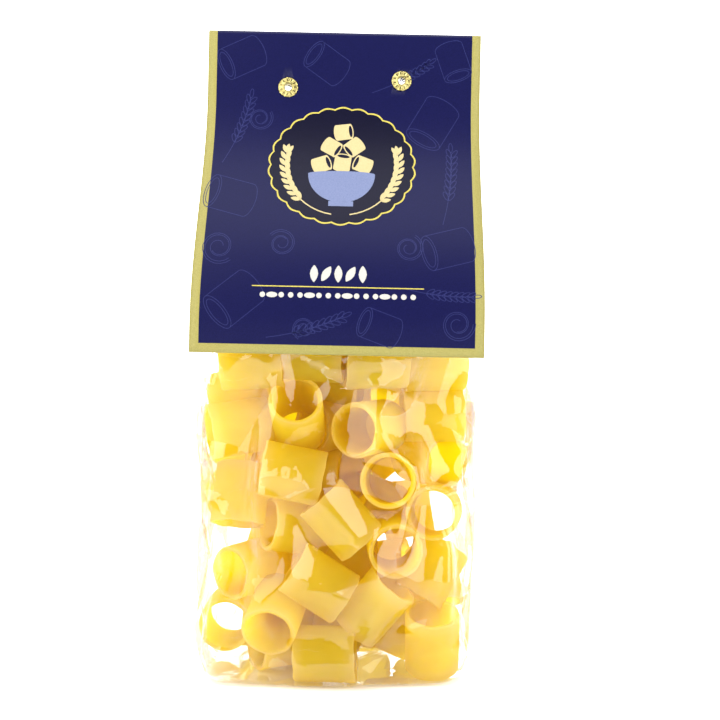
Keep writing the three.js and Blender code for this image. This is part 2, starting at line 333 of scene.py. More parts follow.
def dry_pasta():
    """Matt wheat paste that lets light through, paler at the cut rims, with a painted glow in the bore: its
    inner face is coloured deeper amber to stand in for light shining into the tube through the walls.
    """
    material, nodes, links, surface, output = fresh_material("dry_pasta")
    place = nodes.new("ShaderNodeTexCoord").outputs["Object"]
    mottle = ramp(nodes, links, sprinkle(nodes, links, place, 130, 2),
                  [(0.3, (0.83, 0.745, 0.055)), (0.7, (0.89, 0.82, 0.10))])
    batch = blend_colours(nodes, links, reading(nodes, "batch"), (0.96, 0.92, 0.74), (1.0, 1.0, 1.0))
    body = blend_colours(nodes, links, 1.0, mottle, batch, "MULTIPLY")
    in_bore = reading(nodes, "bore")
    # Painted glow: the bore's inner face is coloured deep amber, standing in for the light that shines into
    # the tube through its walls.
    wall = blend_colours(nodes, links, in_bore, body, (0.97, 0.66, 0.03))
    colour = blend_colours(nodes, links, reading(nodes, "rim"), wall, (0.90, 0.72, 0.34))
    links.new(colour, surface.inputs["Base Color"])
    surface.inputs["Roughness"].default_value = 0.48
    surface.inputs["Specular IOR Level"].default_value = 0.15
    grain = sprinkle(nodes, links, place, 1500, 1)
    normal = bumps(nodes, links, grain, 0.35, 0.0002)
    links.new(normal, surface.inputs["Normal"])
    glow = nodes.new("ShaderNodeBsdfTranslucent")
    glow.inputs["Color"].default_value = (0.98, 0.855, 0.018, 1)
    passing = nodes.new("ShaderNodeMapRange")
    passing.inputs["To Min"].default_value = LIGHT_THROUGH_WALL
    passing.inputs["To Max"].default_value = LIGHT_THROUGH_BORE
    links.new(in_bore, passing.inputs["Value"])
    mix_finishes(nodes, links, passing.outputs["Result"], surface.outputs["BSDF"], glow.outputs["BSDF"],
                 output)
    return material


def place_piece(name, mesh, materials, replaced=()):
    piece = bpy.data.objects.new(name, mesh)
    bpy.context.scene.collection.objects.link(piece)
    mesh.materials.clear()
    for material in materials:
        mesh.materials.append(material)
    for face in mesh.polygons:
        face.use_smooth = True
    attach(piece, "root")
    if replaced:
        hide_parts(*replaced)
    return piece


ring_middles, ring_turns = pour_rings()


def all_rings():
    pattern = one_ring()
    bm = bmesh.new()
    batch = bm.verts.layers.float.new("batch")
    rim = bm.verts.layers.float.new("rim")
    bore = bm.verts.layers.float.new("bore")
    for middle, turn in zip(ring_middles, ring_turns):
        habit = {
            "oval": chance.uniform(0.0, 0.025),
            "taper": chance.uniform(-0.012, 0.012),
            "askew": chance.uniform(0.0, 0.045),
            "bow": chance.uniform(-0.35, 0.35),
            "lie": chance.uniform(0, math.tau),
        }
        shade = chance.uniform(0, 1)
        done = len(bm.verts)
        bm.from_mesh(pattern)
        bm.verts.ensure_lookup_table()
        fresh = bm.verts[done:]
        for vert in fresh:
            near_end = (abs(vert.co.z) - (RING_LENGTH / 2 - PALE_RIM_LENGTH)) / PALE_RIM_LENGTH
            vert[rim] = float(ease(near_end))
            vert[batch] = shade
            # The bore mark picks the inner faces that get the painted amber glow and let more light through.
            vert[bore] = float(math.hypot(vert.co.x, vert.co.y) < RING_RADIUS - RING_WALL / 2)
            vert.co = uneven(vert.co, habit)
        seat = Vector(middle) + Vector((POUCH_MIDDLE_X, 0, 0))
        bmesh.ops.transform(bm, matrix=Matrix.Translation(seat) @ Matrix(turn.tolist()).to_4x4(), verts=fresh)
        sunk = max(RING_FLOOR - min(vert.co.z for vert in fresh), 0)
        bmesh.ops.translate(bm, vec=(0, 0, sunk), verts=fresh)
    bmesh.ops.scale(bm, vec=(MM, MM, MM), verts=bm.verts)
    bpy.data.meshes.remove(pattern)
    return finished_mesh(bm, "pasta_rings")


place_piece("pasta_rings", all_rings(), [dry_pasta()], ["pouch"])

# ---------------------------------------------------------------------------------------------------------
# The pouch's film. One clear glossy block-bottom bag, folded at its base and drawn up flat between the
# card's panels. It is made as a slightly roomy tube and then drawn in on the rings, which gives it its
# creases, and its finish gives the flat tilted patches that a stiff thin film has between them.
# ---------------------------------------------------------------------------------------------------------
FILM_TOP = 289.0
FILM_COLUMNS = 164
FILM_ROWS = 136
FILM_ROOM = 2.5
ROOM_FULL_AT = 12
ROOM_ENDS_AT = 140
ROOM_FADES_OVER = 25
FILM_SPARE = 0.03
FILM_DRAWN_IN = 26
SIMULATION_SCALE = 10
PINNED_BELOW = 0.5
PINNED_ABOVE = 226.0
BLOCK_SIDES = 22
BLOCK_ROUNDING = 0.9
FOLD_RADIUS = 2.0
FLARE_DEPTH = 37.5
UNDER_CARD_FROM = 134.0
CARD_GAP = 0.8
FACET_SCALE = 30.0
FACET_TILT = 0.45
BOTH_FACES_SHINE = 1.25
MOST_GLARE = 0.6


def pouch_wall(share, z, room):
    """A point of the pouch's plain wall, a share of the way round it."""
    across, along = math.cos(math.tau * share), math.sin(math.tau * share)
    corner = (abs(across) ** CORNER_POWER + abs(along) ** CORNER_POWER) ** (1 / CORNER_POWER)
    x = (pouch_half_width(z) + room) * across / corner
    y = (pouch_half_depth(z) + room) * along / corner
    return Vector((x, y, z))


def plain_film():
    bm = bmesh.new()
    bmesh.ops.create_grid(bm, x_segments=FILM_COLUMNS, y_segments=FILM_ROWS, size=0.5)
    for vert in bm.verts:
        z = FILM_TOP * (vert.co.y + 0.5)
        room = FILM_ROOM * float(ease(z / ROOM_FULL_AT) * ease((ROOM_ENDS_AT - z) / ROOM_FADES_OVER))
        vert.co = pouch_wall(vert.co.x + 0.5, z, room)
    bmesh.ops.remove_doubles(bm, verts=bm.verts, dist=0.001)
    open_edges = [edge for edge in bm.edges if edge.is_boundary]
    bmesh.ops.holes_fill(bm, edges=open_edges, sides=0)
    bmesh.ops.recalc_face_normals(bm, faces=bm.faces)
    bmesh.ops.scale(bm, vec=[MM * SIMULATION_SCALE] * 3, verts=bm.verts)
    return finished_mesh(bm, "film")


def solid_rings():
    """Plain closed blocks in the rings' places, which the film is drawn in on. Each point is worked out here,
    because a bevel's last digits change from run to run, and the film would then fold differently."""
    bm = bmesh.new()
    unit = MM * SIMULATION_SCALE
    half, soft = RING_LENGTH / 2, BLOCK_ROUNDING
    midway = soft * (1 - math.sqrt(0.5))
    rim = [(RING_RADIUS - soft, half), (RING_RADIUS - midway, half - midway), (RING_RADIUS, half - soft)]
    outline = rim + [(radius, -height) for radius, height in reversed(rim)]
    angles = [math.tau * side / BLOCK_SIDES for side in range(BLOCK_SIDES)]
    for middle, turn in zip(ring_middles, ring_turns):
        turned = Matrix(turn.tolist()).to_4x4()
        seat = Matrix.Translation(Vector(middle) * unit) @ turned @ Matrix.Scale(unit, 4)
        loops = [[bm.verts.new(seat @ Vector((radius * math.sin(angle), radius * math.cos(angle), height)))
                  for angle in angles] for radius, height in outline]
        for upper, lower in zip(loops, loops[1:]):
            for side in range(BLOCK_SIDES):
                bm.faces.new((upper[side], lower[side], lower[side - 1], upper[side - 1]))
        bm.faces.new(loops[0][::-1])
        bm.faces.new(loops[-1])
    return finished_mesh(bm, "solid_rings")


def draw_in(film):
    """Draws the roomy film in on the rings by cloth simulation and keeps the mesh that it gives."""
    scene = bpy.context.scene
    unit = MM * SIMULATION_SCALE
    blocks = bpy.data.objects.new("solid_rings", solid_rings())
    scene.collection.objects.link(blocks)
    blocks.modifiers.new("meets_film", "COLLISION")
    pins = film.vertex_groups.new(name="pinned")
    fixed = [vert.index for vert in film.data.vertices
             if vert.co.z < PINNED_BELOW * unit or vert.co.z > PINNED_ABOVE * unit]
    pins.add(fixed, 1.0, "REPLACE")
    cloth = film.modifiers.new("drawn_in", "CLOTH")
    sheet = cloth.settings
    sheet.quality = 6
    sheet.mass = 0.15
    sheet.tension_stiffness = 60
    sheet.compression_stiffness = 60
    sheet.shear_stiffness = 20
    sheet.bending_stiffness = 8
    sheet.tension_damping = 5
    sheet.compression_damping = 5
    sheet.shear_damping = 5
    sheet.air_damping = 2
    sheet.vertex_group_mass = "pinned"
    sheet.effector_weights.gravity = 0
    sheet.use_pressure = True
    sheet.uniform_pressure_force = -4
    sheet.shrink_min = -FILM_SPARE
    cloth.collision_settings.distance_min = 0.004
    cloth.collision_settings.collision_quality = 3
    for step in range(1, FILM_DRAWN_IN + 1):
        scene.frame_set(step)
    ready = bpy.context.evaluated_depsgraph_get()
    drawn = bpy.data.meshes.new_from_object(film.evaluated_get(ready))
    film.modifiers.clear()
    film.data = drawn
    bpy.data.objects.remove(blocks)
    scene.frame_set(1)


def card_half_depth(z):
    return FOLD_RADIUS + FLARE_DEPTH * float(ease((FLARE_TOP - z) / FLARE_HEIGHT))


def worked_out(nodes, links, operation, first, second, kind="ShaderNodeMath", result="Value"):
    """What a sum of two sockets, or of a socket and a plain value, comes to."""
    node = nodes.new(kind)
    node.operation = operation
    for socket, value in zip(node.inputs, (first, second)):
        if isinstance(value, bpy.types.NodeSocket):
            links.new(value, socket)
        else:
            socket.default_value = value
    return node.outputs[result]


def flat_facets(nodes, links, place):
    """The film between its creases: patches of a few centimetres, each one flat and tilted its own way."""
    stretch = nodes.new("ShaderNodeMapping")
    stretch.inputs["Scale"].default_value = (1.0, 1.0, 1.7)
    stretch.inputs["Rotation"].default_value = (0.2, 0.35, 0.1)
    links.new(place, stretch.inputs["Vector"])
    patches = nodes.new("ShaderNodeTexVoronoi")
    patches.inputs["Scale"].default_value = FACET_SCALE
    links.new(stretch.outputs["Vector"], patches.inputs["Vector"])
    vectors = "ShaderNodeVectorMath"
    across = worked_out(nodes, links, "SUBTRACT", stretch.outputs["Vector"], patches.outputs["Position"],
                        vectors, "Vector")
    tilt = worked_out(nodes, links, "SUBTRACT", patches.outputs["Color"], (0.5, 0.5, 0.5), vectors, "Vector")
    height = worked_out(nodes, links, "DOT_PRODUCT", across, tilt, vectors)
    return bumps(nodes, links, height, FACET_TILT, 1.0)


def clear_film():
    """Thin clear film: it hides nothing and mirrors the lights, most where it turns away."""
    material, nodes, links, surface, output = fresh_material("clear_film")
    nodes.remove(surface)
    place = nodes.new("ShaderNodeTexCoord").outputs["Object"]
    crinkle = bumps(nodes, links, sprinkle(nodes, links, place, 260, 1), 0.25, 0.0006)
    links.new(flat_facets(nodes, links, place), crinkle.node.inputs["Normal"])
    shine = nodes.new("ShaderNodeBsdfGlossy")
    shine.inputs["Roughness"].default_value = 0.06
    shine.inputs["Color"].default_value = (1, 1, 1, 1)
    links.new(crinkle, shine.inputs["Normal"])
    clear = nodes.new("ShaderNodeBsdfTransparent")
    clear.inputs["Color"].default_value = (0.985, 0.985, 0.985, 1)
    edge_on = nodes.new("ShaderNodeFresnel")
    edge_on.inputs["IOR"].default_value = 1.5
    links.new(crinkle, edge_on.inputs["Normal"])
    both_faces = worked_out(nodes, links, "MULTIPLY", edge_on.outputs["Fac"], BOTH_FACES_SHINE)
    glare = worked_out(nodes, links, "MINIMUM", both_faces, MOST_GLARE)
    mix_finishes(nodes, links, glare, clear.outputs["BSDF"], shine.outputs["BSDF"], output)
    return material


def finished_film():
    film = bpy.data.objects.new("film_draft", plain_film())
    bpy.context.scene.collection.objects.link(film)
    draw_in(film)
    bm = bmesh.new()
    bm.from_mesh(film.data)
    bmesh.ops.scale(bm, vec=[1 / SIMULATION_SCALE] * 3, verts=bm.verts)
    bmesh.ops.translate(bm, vec=(POUCH_MIDDLE_X * MM, 0, 0), verts=bm.verts)
    for vert in bm.verts:
        vert.co.z = max(vert.co.z, 0.0)
        if vert.co.z > UNDER_CARD_FROM * MM:
            room = (card_half_depth(vert.co.z / MM) - CARD_GAP) * MM
            vert.co.y = max(min(vert.co.y, room), -room)
    bpy.data.objects.remove(film)
    return finished_mesh(bm, "pouch_film")


film = place_piece("pouch_film", finished_film(), [clear_film()], ["pouch"])
smoothing = film.modifiers.new("smooth", "SUBSURF")
smoothing.levels = 1
smoothing.render_levels = 1

# ---------------------------------------------------------------------------------------------------------
# The header card. Thin board printed deep blue with a gold border, folded over the flat neck of the pouch so
# that both panels flare out over the pasta. It sits a little askew, and its cut edges show the pale board.
# ---------------------------------------------------------------------------------------------------------
CARD_WIDTH = 125.0
CARD_MIDDLE = (0.6, 217.4)
CARD_BOTTOM = 143.0
CARD_THICKNESS = 0.5
CARD_TILT = math.radians(1.2)
FOLD_FROM = 289.8
BORDER = 4.0
PUNCH_RADIUS = 2.3
PUNCH_LENGTH = 20
BOARD_COLUMNS = 36
FLARE_STEPS = 42
FOLD_STEPS = 11
EYELETS = {"eyelet_left": (-25.6, 265.7), "eyelet_right": (26.4, 269.7)}


def askew(x, y, z):
    """Turns a place on the upright card, with x from its middle, to where it lies on the pack, in metres."""
    up = z - CARD_MIDDLE[1]
    turned_x = x * math.cos(CARD_TILT) + up * math.sin(CARD_TILT)
    turned_z = up * math.cos(CARD_TILT) - x * math.sin(CARD_TILT)
    return Vector((turned_x + CARD_MIDDLE[0], y, turned_z + CARD_MIDDLE[1])) * MM


def on_card(x, z, lift, side=-1):
    """A place on the outer face of the front panel (side -1) or the back panel (side 1)."""
    slope = (card_half_depth(z + 0.5) - card_half_depth(z - 0.5))
    length = math.hypot(1, slope)
    return askew(x, side * (card_half_depth(z) + lift / length), z - lift * slope / length)


def board_line():
    """The board's outer line from the front panel's edge over the fold, as side, height and run of board."""
    heights = [float(z) for z in np.linspace(CARD_BOTTOM, FLARE_TOP, FLARE_STEPS)]
    heights += [FLARE_TOP + 14, FOLD_FROM]
    line = [(-card_half_depth(z), z) for z in heights]
    fold = [(-FOLD_RADIUS * math.cos(turn), FOLD_FROM + FOLD_RADIUS * math.sin(turn))
            for turn in np.linspace(0, math.pi, FOLD_STEPS)[1:-1]]
    line += fold + [(-y, z) for y, z in reversed(line)]
    run = [0.0]
    for (y0, z0), (y1, z1) in zip(line, line[1:]):
        run.append(run[-1] + math.hypot(y1 - y0, z1 - z0))
    return [(y, z, length) for (y, z), length in zip(line, run)]


def satin_print(nodes, links, place, surface):
    surface.inputs["Roughness"].default_value = 0.36
    surface.inputs["Specular IOR Level"].default_value = 0.15
    tooth = bumps(nodes, links, sprinkle(nodes, links, place, 900, 3), 0.12, 0.0001)
    links.new(tooth, surface.inputs["Normal"])


def printed_board():
    """The card's print: blue with fine print grain, a gold border, and plain blue over the fold."""
    material, nodes, links, surface, _ = fresh_material("printed_board")
    chart = nodes.new("ShaderNodeUVMap")
    chart.uv_map = "board"
    place = nodes.new("ShaderNodeTexCoord").outputs["Object"]
    across = nodes.new("ShaderNodeSeparateXYZ")
    links.new(chart.outputs["UV"], across.inputs["Vector"])

    def beyond(source, middle, reach):
        """One where the source lies further than reach from the middle."""
        away = worked_out(nodes, links, "SUBTRACT", source, middle)
        distance = worked_out(nodes, links, "ABSOLUTE", away, 0.0)
        return worked_out(nodes, links, "GREATER_THAN", distance, reach)

    sides = beyond(across.outputs["X"], CARD_WIDTH / 2 * MM, (CARD_WIDTH / 2 - BORDER) * MM)
    ends = beyond(across.outputs["Y"], card_line[-1][2] / 2 * MM, (card_line[-1][2] / 2 - BORDER) * MM)
    border = worked_out(nodes, links, "MAXIMUM", sides, ends)
    grain = sprinkle(nodes, links, place, 2600, 2)
    blue = ramp(nodes, links, grain, [(0.3, (0.0035, 0.004, 0.036)), (0.7, (0.0055, 0.006, 0.050))])
    gold = ramp(nodes, links, grain, [(0.3, (0.255, 0.225, 0.060)), (0.7, (0.32, 0.285, 0.090))])
    links.new(blend_colours(nodes, links, border, blue, gold), surface.inputs["Base Color"])
    satin_print(nodes, links, place, surface)
    return material


def bare_board():
    material, nodes, links, surface, _ = fresh_material("bare_board")
    place = nodes.new("ShaderNodeTexCoord").outputs["Object"]
    fibre = sprinkle(nodes, links, place, 1800, 4)
    colour = ramp(nodes, links, fibre, [(0.3, (0.70, 0.68, 0.62)), (0.7, (0.84, 0.82, 0.77))])
    links.new(colour, surface.inputs["Base Color"])
    surface.inputs["Roughness"].default_value = 0.75
    links.new(bumps(nodes, links, fibre, 0.3, 0.0001), surface.inputs["Normal"])
    return material


card_line = board_line()


def folded_card():
    """A flat sheet bent along the board's line; the eyelets' holes are punched through both panels
    afterwards.
    """
    rows = len(card_line) - 1
    bm = bmesh.new()
    bmesh.ops.create_grid(bm, x_segments=BOARD_COLUMNS, y_segments=rows, size=0.5)
    chart = bm.loops.layers.uv.new("board")
    for face in bm.faces:
        for loop in face.loops:
            run = card_line[round((loop.vert.co.y + 0.5) * rows)][2]
            loop[chart].uv = ((loop.vert.co.x + 0.5) * CARD_WIDTH * MM, run * MM)
    for vert in bm.verts:
        y, z, _ = card_line[round((vert.co.y + 0.5) * rows)]
        vert.co = askew(vert.co.x * CARD_WIDTH, y, z)
    bmesh.ops.recalc_face_normals(bm, faces=bm.faces)
    if max(bm.faces, key=lambda face: face.calc_center_median().z).normal.z < 0:
        bmesh.ops.reverse_faces(bm, faces=bm.faces)
    return finished_mesh(bm, "header_card")


def punches():
    bm = bmesh.new()
    for x, z in EYELETS.values():
        centre = askew(x, 0, z)
        seat = Matrix.Translation(centre) @ Matrix.Rotation(math.radians(90), 4, "X")
        bmesh.ops.create_cone(bm, cap_ends=True, segments=32, radius1=PUNCH_RADIUS * MM,
                              radius2=PUNCH_RADIUS * MM, depth=PUNCH_LENGTH * MM, matrix=seat)
    return finished_mesh(bm, "punches")


def punched(card, cutter_mesh):
    """Gives the board its thickness and cuts the eyelets' holes, as a finished mesh."""
    cutter = bpy.data.objects.new("punches", cutter_mesh)
    bpy.context.scene.collection.objects.link(cutter)
    body = card.modifiers.new("board", "SOLIDIFY")
    body.thickness = CARD_THICKNESS * MM
    body.offset = -1
    body.material_offset = 1
    body.material_offset_rim = 1
    holes = card.modifiers.new("holes", "BOOLEAN")
    holes.operation = "DIFFERENCE"
    holes.solver = "EXACT"
    holes.object = cutter
    ready = bpy.context.evaluated_depsgraph_get()
    mesh = bpy.data.meshes.new_from_object(card.evaluated_get(ready))
    card.modifiers.clear()
    card.data = mesh
    bpy.data.objects.remove(cutter)
    for face in mesh.polygons:
        face.use_smooth = face.material_index == 0


header = place_piece("header_board", folded_card(), [printed_board(), bare_board()], ["header_card"])
punched(header, punches())

# ---------------------------------------------------------------------------------------------------------
# The inks on the card. Flat prints laid on the board: thin pale line drawings of pasta and wheat all over
# the blue, and on the front a scalloped dark field with a gold rim and a bowl of rings between two ears.
# ---------------------------------------------------------------------------------------------------------
INK_STEP = 2.5
PEN = 0.28
LOWEST_INK = 0.04
ROWS_LIFT = 0.06
RIM_LIFT, FIELD_LIFT, EARS_LIFT, BOWL_LIFT = 0.05, 0.08, 0.11, 0.14
FIELD_MIDDLE = (0.0, 228.4)
FIELD_HALF = (33.5, 28.8)
FIELD_SCALLOPS = 26
SCALLOP_DEPTH = 0.035
FIELD_RIM = 0.75
EAR_KNOTS = 13
EAR_STEP = 3.1
EAR_GRAIN = (4.6, 2.0)
BOWL_RING_SIZE = 7.6
BOWL_RINGS = [(-9.2, 4.6, 200), (0.2, 5.6, 262), (9.4, 4.8, -22), (-4.9, 13.2, 150),
              (5.4, 13.4, 38), (0.4, 20.6, 188)]


def ink_paint(name, dark, light):
    material, nodes, links, surface, _ = fresh_material(name)
    place = nodes.new("ShaderNodeTexCoord").outputs["Object"]
    grain = sprinkle(nodes, links, place, 2600, 2)
    links.new(ramp(nodes, links, grain, [(0.3, dark), (0.7, light)]), surface.inputs["Base Color"])
    satin_print(nodes, links, place, surface)
    return material


def lay_ink(bm, name, material, lift, side=-1):
    """Wraps a flat print, drawn in millimetres with x across the card and y up it, onto a panel."""
    low, high = min(v.co.y for v in bm.verts), max(v.co.y for v in bm.verts)
    for height in np.arange(math.ceil(low / INK_STEP) * INK_STEP, high, INK_STEP):
        bmesh.ops.bisect_plane(bm, geom=bm.verts[:] + bm.edges[:] + bm.faces[:], dist=1e-4,
                               plane_co=(0, float(height), 0), plane_no=(0, 1, 0))
    for vert in bm.verts:
        vert.co = on_card(-side * vert.co.x, vert.co.y, lift, side)
    for face in bm.faces:
        face.normal_update()
    turned = [face for face in bm.faces if face.normal.y * side < 0]
    bmesh.ops.reverse_faces(bm, faces=turned)
    return place_piece(name, finished_mesh(bm, name), [material])


def stroke(bm, points, width, closed=False):
    """A pen line of even width through the points."""
    count = len(points)
    rails = ([], [])
    for i, (x, y) in enumerate(points):
        before = points[i - 1] if closed or i else points[0]
        after = points[(i + 1) % count] if closed or i < count - 1 else points[-1]
        along = Vector((after[0] - before[0], after[1] - before[1]))
        along = along.normalized() if along.length > 1e-9 else Vector((1, 0))
        for rail, reach in zip(rails, (-width / 2, width / 2)):
            rail.append(bm.verts.new((x - along.y * reach, y + along.x * reach, 0)))
    edges = []
    for rail in rails:
        pairs = list(zip(rail, rail[1:])) + ([(rail[-1], rail[0])] if closed else [])
        edges += [bm.edges.new(pair) for pair in pairs]
    bmesh.ops.bridge_loops(bm, edges=edges)


def arc(middle, radii, start, end, lean=0.0, steps=28):
    """Points of part of an ellipse, its angles and its lean in degrees."""
    points = []
    tilt = math.radians(lean)
    for share in range(steps + 1):
        angle = math.radians(start + (end - start) * share / steps)
        x, y = radii[0] * math.cos(angle), radii[1] * math.sin(angle)
        points.append((middle[0] + x * math.cos(tilt) - y * math.sin(tilt),
                       middle[1] + x * math.sin(tilt) + y * math.cos(tilt)))
    return points


def drawn_ring(bm, middle, size, lean, width):
    """A short tube in outline: its open end, its wall and the far rim that shows."""
    tilt = math.radians(lean)
    reach = Vector((math.cos(tilt), math.sin(tilt))) * size * 1.05
    near = Vector(middle) - reach / 2
    far = Vector(middle) + reach / 2
    stroke(bm, arc(near, (size * 0.2, size * 0.5), 0, 347, lean), width, closed=True)
    stroke(bm, arc(near, (size * 0.14, size * 0.4), 0, 347, lean), width, closed=True)
    stroke(bm, arc(far, (size * 0.2, size * 0.5), -90, 90, lean, 14), width)
    wall = Vector((-math.sin(tilt), math.cos(tilt))) * size * 0.5
    for edge in (wall, -wall):
        stroke(bm, [near + edge, far + edge], width)


def grain_lines(middle, length, lean):
    return arc(middle, (length / 2, length * 0.19), 0, 345, lean, 15)


def heading(degrees):
    return Vector((math.cos(math.radians(degrees)), math.sin(math.radians(degrees))))


def drawn_ear(bm, foot, height, lean, width, pairs=7, bend=18.0):
    """An ear of wheat in outline: a bent stalk with grains in pairs and one on top."""
    stalk = [Vector(foot)]
    turn = lean
    step = height / (pairs + 5)
    for _ in range(pairs + 5):
        stalk.append(stalk[-1] + heading(turn) * step)
        turn += bend / (pairs + 5)
    stroke(bm, stalk, width)
    for knot in stalk[4:-1]:
        for side in (-1, 1):
            grain_lean = turn - bend / 2 + side * 32
            out = heading(grain_lean)
            stroke(bm, grain_lines(knot + out * step * 0.75, step * 1.5, grain_lean), width, closed=True)
    stroke(bm, grain_lines(stalk[-1] + (stalk[-1] - stalk[-2]) * 0.6, step * 1.5, turn), width, closed=True)


def drawn_curl(bm, middle, size, lean, width):
    """A curled ribbon in outline."""
    points = []
    for share in range(40):
        angle = math.radians(lean + share * 17)
        radius = size * (0.12 + 0.4 * share / 40)
        points.append((middle[0] + radius * math.cos(angle), middle[1] + radius * math.sin(angle)))
    stroke(bm, points, width)
    stroke(bm, [(x * 0.86 + middle[0] * 0.14, y * 0.86 + middle[1] * 0.14) for x, y in points[12:]], width)


def all_over_drawings(side):
    bm = bmesh.new()
    for x, y, size, lean in ((-47, 279, 15, 25), (-8, 277, 14, -35), (41, 250, 17, 60), (-49, 213, 16, -15),
                             (-44, 166, 17, 40), (18, 155, 13, -20), (47, 190, 16, 15), (50, 279, 13, 110)):
        drawn_ring(bm, (x, y), size, lean, PEN)
    for x, y, height, lean in ((-54, 229, 34, 62), (13, 264, 30, 20), (45, 201, 36, 75), (-30, 150, 34, 8),
                               (28, 172, 30, -14)):
        drawn_ear(bm, (x, y), height, lean, PEN)
    for x, y, size, lean in ((-52, 189, 16, 10), (-25, 191, 13, 200), (30, 190, 13, 120), (51, 157, 15, 60),
                             (-14, 154, 10, 300), (-38, 251, 12, 90)):
        drawn_curl(bm, (x, y), size, lean, PEN)
    name = "drawings_front" if side < 0 else "drawings_back"
    return lay_ink(bm, name, line_ink, LOWEST_INK, side)


def scalloped(bm, half):
    """A closed outline of shallow scallops, filled."""
    steps = FIELD_SCALLOPS * 6
    edge = bmesh.ops.create_circle(bm, cap_ends=True, segments=steps, radius=1)["verts"]
    for vert in edge:
        angle = math.atan2(vert.co.y, vert.co.x)
        swell = 1 - SCALLOP_DEPTH * (1 - abs(math.sin(angle * FIELD_SCALLOPS / 2)))
        vert.co.x = FIELD_MIDDLE[0] + half[0] * swell * math.cos(angle)
        vert.co.y = FIELD_MIDDLE[1] + half[1] * swell * math.sin(angle)


def grain(bm, middle, length, width, lean):
    """A filled wheat grain, pointed at both ends."""
    blob = bmesh.ops.create_circle(bm, cap_ends=True, segments=14, radius=1)["verts"]
    for vert in blob:
        vert.co.y *= max(1 - abs(vert.co.x) ** 1.6, 0) ** 0.35
    seat = Matrix.Translation((*middle, 0)) @ Matrix.Rotation(math.radians(lean), 4, "Z")
    size = Matrix.Diagonal((length / 2, width / 2, 1, 1))
    bmesh.ops.transform(bm, matrix=seat @ size, verts=blob)


def filled_ear(bm, foot, lean, bend):
    """An ear of wheat in flat ink, its grains in pairs above the fourth knot and one on top."""
    turn = lean
    place = Vector(foot)
    stalk = [place.copy()]
    for knot in range(EAR_KNOTS):
        along = heading(turn)
        place = place + along * EAR_STEP
        stalk.append(place.copy())
        if knot > 3:
            for side in (-1, 1):
                grain_lean = turn + side * 30
                out = heading(grain_lean)
                grain(bm, place + out * 2.3, *EAR_GRAIN, grain_lean)
        turn += bend / EAR_KNOTS
    grain(bm, place + along * 2.4, *EAR_GRAIN, turn)
    stroke(bm, stalk, 0.55)


def filled_ring(barrels, mouths, middle, lean):
    """A short tube seen at a slant: a barrel with oval ends, and the dark mouth at the near one."""
    across, along, reach = BOWL_RING_SIZE / 2, BOWL_RING_SIZE * 0.17, BOWL_RING_SIZE * 0.42
    seat = Matrix.Translation((*middle, 0)) @ Matrix.Rotation(math.radians(lean), 4, "Z")
    barrel = bmesh.ops.create_circle(barrels, cap_ends=True, segments=32, radius=1)["verts"]
    for vert in barrel:
        side = math.copysign(reach, vert.co.x)
        vert.co = (vert.co.x * along + side, vert.co.y * across, 0)
    bmesh.ops.transform(barrels, matrix=seat, verts=barrel)
    mouth = bmesh.ops.create_circle(mouths, cap_ends=True, segments=24, radius=1)["verts"]
    shape = Matrix.Translation((-reach, 0, 0)) @ Matrix.Diagonal((along * 0.62, across * 0.74, 1, 1))
    bmesh.ops.transform(mouths, matrix=seat @ shape, verts=mouth)


def medallion():
    """The dark field in front, its gold rim, and the bowl of rings between two ears."""
    bm = bmesh.new()
    scalloped(bm, FIELD_HALF)
    lay_ink(bm, "field_rim", gold_ink, RIM_LIFT)
    bm = bmesh.new()
    scalloped(bm, (FIELD_HALF[0] - FIELD_RIM, FIELD_HALF[1] - FIELD_RIM))
    lay_ink(bm, "field", field_ink, FIELD_LIFT)
    bm = bmesh.new()
    for side in (-1, 1):
        filled_ear(bm, (FIELD_MIDDLE[0] + side * 4, FIELD_MIDDLE[1] - 23.5), 90 - side * 78, side * 92)
    lay_ink(bm, "ears", wheat_ink, EARS_LIFT)
    bm = bmesh.new()
    rim_y = FIELD_MIDDLE[1] - 4
    bowl = bmesh.ops.create_circle(bm, cap_ends=True, segments=48, radius=15)["verts"]
    for vert in bowl:
        vert.co.y = vert.co.y * 0.92 + rim_y if vert.co.y < 0 else rim_y + vert.co.y * 0.1
        vert.co.x += FIELD_MIDDLE[0]
    foot = bmesh.ops.create_grid(bm, x_segments=1, y_segments=1, size=0.5)["verts"]
    seat = Matrix.Translation((FIELD_MIDDLE[0], rim_y - 14.4, 0)) @ Matrix.Diagonal((11, 2.4, 1, 1))
    bmesh.ops.transform(bm, matrix=seat, verts=foot)
    lay_ink(bm, "bowl", bowl_ink, BOWL_LIFT)
    barrels, mouths = bmesh.new(), bmesh.new()
    for x, y, lean in BOWL_RINGS:
        filled_ring(barrels, mouths, (FIELD_MIDDLE[0] + x, rim_y + y), lean)
    lay_ink(barrels, "bowl_rings", wheat_ink, EARS_LIFT)
    lay_ink(mouths, "bowl_ring_mouths", field_ink, BOWL_LIFT)


def front_rows():
    """Plain ornaments below the field: a row of grains, a ruled line, and a row of small dots."""
    bm = bmesh.new()
    for i in range(5):
        grain(bm, (-10.4 + i * 5.2, 177.7), 7.6, 3.5, 90 if i % 2 == 0 else 60)
    for i in range(17):
        dot = bmesh.ops.create_circle(bm, cap_ends=True, segments=12, radius=1.2)["verts"]
        wide = 2.0 if i % 4 == 1 else 1.0
        seat = Matrix.Translation((-32 + i * 4.0, 168.2, 0)) @ Matrix.Diagonal((wide, 1, 1, 1))
        bmesh.ops.transform(bm, matrix=seat, verts=dot)
    lay_ink(bm, "front_rows", cream_ink, ROWS_LIFT)
    bm = bmesh.new()
    stroke(bm, [(-36.6, 171.9), (36.6, 171.9)], 0.45)
    lay_ink(bm, "front_rule", gold_ink, ROWS_LIFT)


